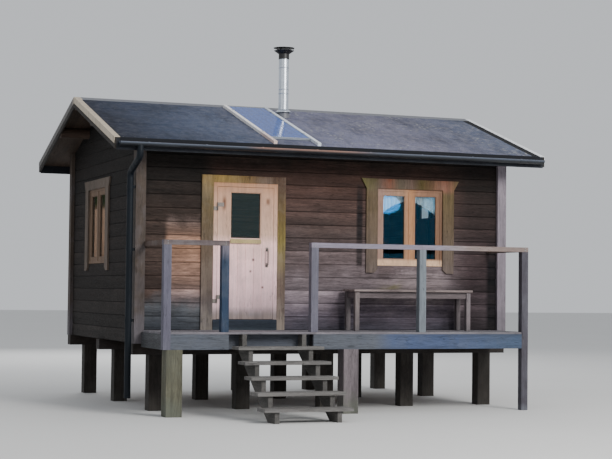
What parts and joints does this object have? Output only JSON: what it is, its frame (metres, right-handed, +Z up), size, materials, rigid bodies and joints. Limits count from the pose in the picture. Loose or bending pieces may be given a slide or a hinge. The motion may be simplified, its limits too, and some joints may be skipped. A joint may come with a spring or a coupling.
{
  "type": "log sauna cabin",
  "caption": "Small log sauna cabin on piers with a railed front deck, open stair, glazed entrance door on a hinge, casement windows, gable roof and flue.",
  "frame": {"origin": "centre of the overall outline at the lowest ground level", "axes": "+X along the front to the right as seen from outside, +Y from the front deck to the rear, +Z up"},
  "size_m": [6.49, 6.73, 5.3022],
  "materials": {
    "log_timber": "weathered brown stain",
    "post_timber": "bare weathered timber",
    "deck_timber": "grey weathered timber",
    "rail_timber": "weathered timber",
    "indoor_timber": "plain sawn timber",
    "roofing_felt": "boarding under mineral felt",
    "roof_board": "dark painted board",
    "flashing": "dull grey sheet",
    "rain_goods": "dark green-grey coating",
    "flue_steel": "bright stainless steel",
    "cowl_steel": "black heatproof coating",
    "rail_aluminium": "white anodised",
    "panel_glass": "dark blue panel under glass",
    "door_timber": "faded pinkish paint",
    "threshold_timber": "dark worn timber",
    "casing_timber": "olive tan stain",
    "sash_timber": "orange tan varnish",
    "window_pane": "clear glass",
    "ironmongery": "black"
  },
  "bodies": {
    "cabin": {"front_sill": "log_timber", "front_wall_left": "log_timber", "front_wall_right": "log_timber", "front_wall_top": "log_timber", "rear_wall": "log_timber", "left_wall": "log_timber", "right_wall": "log_timber", "corner_posts": "post_timber", "deck_floor": "deck_timber", "deck_joists": "deck_timber", "deck_beams": "deck_timber", "deck_fascias": "deck_timber", "deck_piers": "deck_timber", "cabin_piers": "deck_timber", "stair_stringers": "deck_timber", "stair_treads": "deck_timber", "bench": "deck_timber", "floor_bearers": "deck_timber", "floor_joists": "deck_timber", "rail_posts": "rail_timber", "handrails": "rail_timber", "cabin_floor": "indoor_timber", "roof_logs": "indoor_timber", "roof_front": "roofing_felt", "roof_rear": "roofing_felt", "bargeboards": "roof_board", "eave_fascias": "roof_board", "ridge_cap": "flashing", "verge_caps": "flashing", "chimney_collar": "flashing", "gutter": "rain_goods", "downpipe": "rain_goods", "chimney_pipe": "flue_steel", "chimney_cowl": "cowl_steel", "panel_rails": "rail_aluminium", "solar_panel": "panel_glass", "door_frame": "door_timber", "door_threshold": "threshold_timber", "door_casings": "casing_timber", "window_casings": "casing_timber", "window_frames": "sash_timber", "window_sashes": "sash_timber", "window_glass": "window_pane", "hinge_pintles": "ironmongery"},
    "door": {"door_leaf": "door_timber", "door_glass": "window_pane", "door_handle": "ironmongery", "door_hinges": "ironmongery"}
  },
  "joints": [
    {"name": "entrance_door_hinge", "type": "hinge", "parent": "cabin", "child": "door", "pos_m": [-1.6605, -1.019, 1.24], "axis": [0, 0, -1], "range_deg": [0, 100]}
  ]
}
